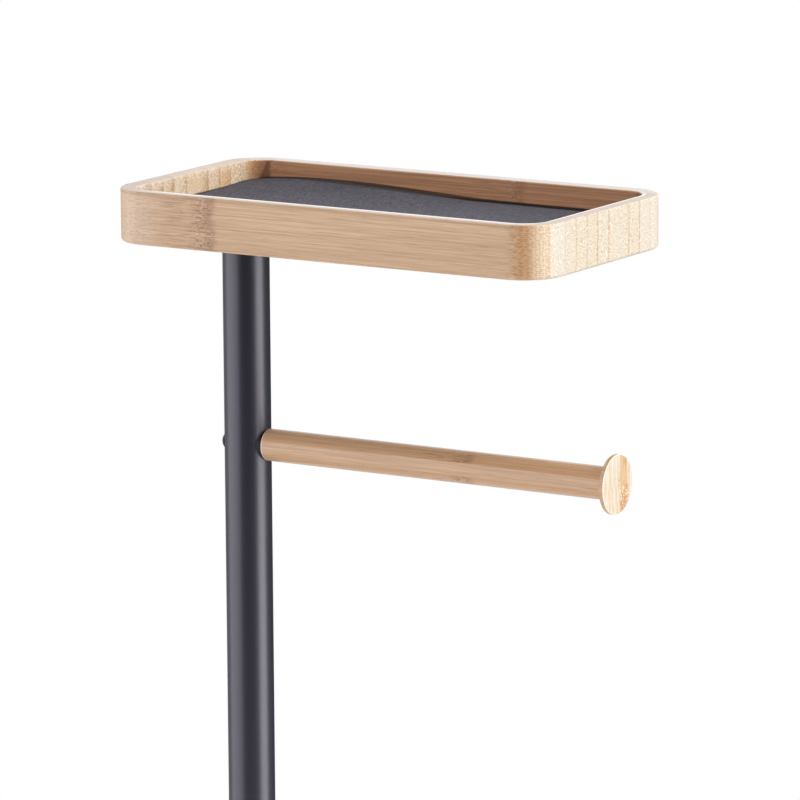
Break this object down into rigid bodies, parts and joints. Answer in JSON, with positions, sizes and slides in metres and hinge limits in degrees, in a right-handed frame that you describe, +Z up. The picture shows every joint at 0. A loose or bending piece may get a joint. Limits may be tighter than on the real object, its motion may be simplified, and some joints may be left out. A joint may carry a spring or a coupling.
{
  "type": "toilet roll stand",
  "caption": "Free-standing toilet roll stand: a bamboo tray with a loose mat on a slim steel post, two bamboo arms that end in discs, and a flat steel base plate.",
  "frame": {"origin": "on the floor, at the middle of the stand's bounding box, which is under the middle of the base plate", "axes": "+X along the arms from the post to their discs, +Y towards the back, +Z up"},
  "size_m": [0.19, 0.14, 0.67],
  "materials": {
    "tray_bamboo": "clear matt lacquer on laminated bamboo",
    "arm_bamboo": "clear satin lacquer on turned bamboo",
    "mat": "dark felt",
    "coated_steel": "satin powder coat, anthracite",
    "zinc_steel": "zinc plated",
    "insert_brass": "turned",
    "black_plastic": "moulded, matt",
    "foot_rubber": "matt"
  },
  "bodies": {
    "stand": {"tray": "tray_bamboo", "tray_screw": "zinc_steel", "tray_cup_washer": "zinc_steel", "tray_locating_pin": "zinc_steel", "post_top_flange": "zinc_steel", "upper_tube": "coated_steel", "upper_tube_socket": "zinc_steel", "joint_stud": "zinc_steel", "lower_tube_socket": "zinc_steel", "lower_tube": "coated_steel", "post_foot_plug": "zinc_steel", "base_plate": "coated_steel", "base_bolt": "zinc_steel", "foot_front_left": "foot_rubber", "foot_front_right": "foot_rubber", "foot_rear_left": "foot_rubber", "foot_rear_right": "foot_rubber", "upper_arm": "arm_bamboo", "upper_arm_insert": "insert_brass", "upper_arm_screw": "coated_steel", "upper_arm_saddle": "black_plastic", "lower_arm": "arm_bamboo", "lower_arm_insert": "insert_brass", "lower_arm_screw": "coated_steel", "lower_arm_saddle": "black_plastic"},
    "mat": {"tray_mat": "mat"}
  },
  "joints": [
    {"name": "mat_lift", "type": "slide", "parent": "stand", "child": "mat", "axis": [0, 0, 1], "range_m": [0, 0.03]}
  ]
}
